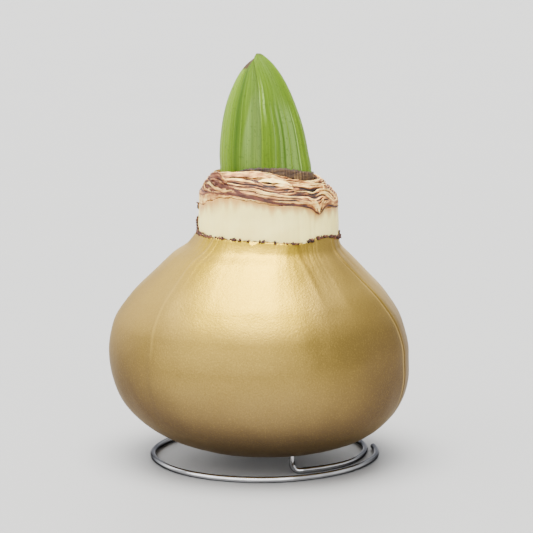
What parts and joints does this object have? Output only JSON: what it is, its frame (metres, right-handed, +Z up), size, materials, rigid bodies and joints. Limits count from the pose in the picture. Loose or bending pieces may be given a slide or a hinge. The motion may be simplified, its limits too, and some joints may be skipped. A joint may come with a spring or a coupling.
{
  "type": "waxed amaryllis bulb",
  "caption": "Amaryllis bulb dipped in gold wax, with a bare cream neck, a dry papery cap and a green shoot, standing on a bent wire ring.",
  "frame": {"origin": "on the table, under the middle of the waxed body", "axes": "+Z up along the bulb towards the shoot's tip, -Y towards the side with the shoot's seam and the wire's upright bend, +X to the right seen from there"},
  "size_m": [0.09, 0.0874, 0.1218],
  "materials": {
    "steel_wire": "drawn bright",
    "gold_wax": "satin metallic gold wax",
    "bulb_flesh": "moist matt plant tissue",
    "dry_scales": "dry papery skin",
    "dry_sheath": "dry ribbed skin",
    "bract_right": "waxy green leaf",
    "bract_left": "waxy green leaf"
  },
  "bodies": {
    "root": {"wire_stand": "steel_wire", "wax_coat": "gold_wax", "bulb": "bulb_flesh", "dry_scales": "dry_scales", "shoot_sheath": "dry_sheath", "bract_right": "bract_right", "bract_left": "bract_left"}
  },
  "joints": []
}
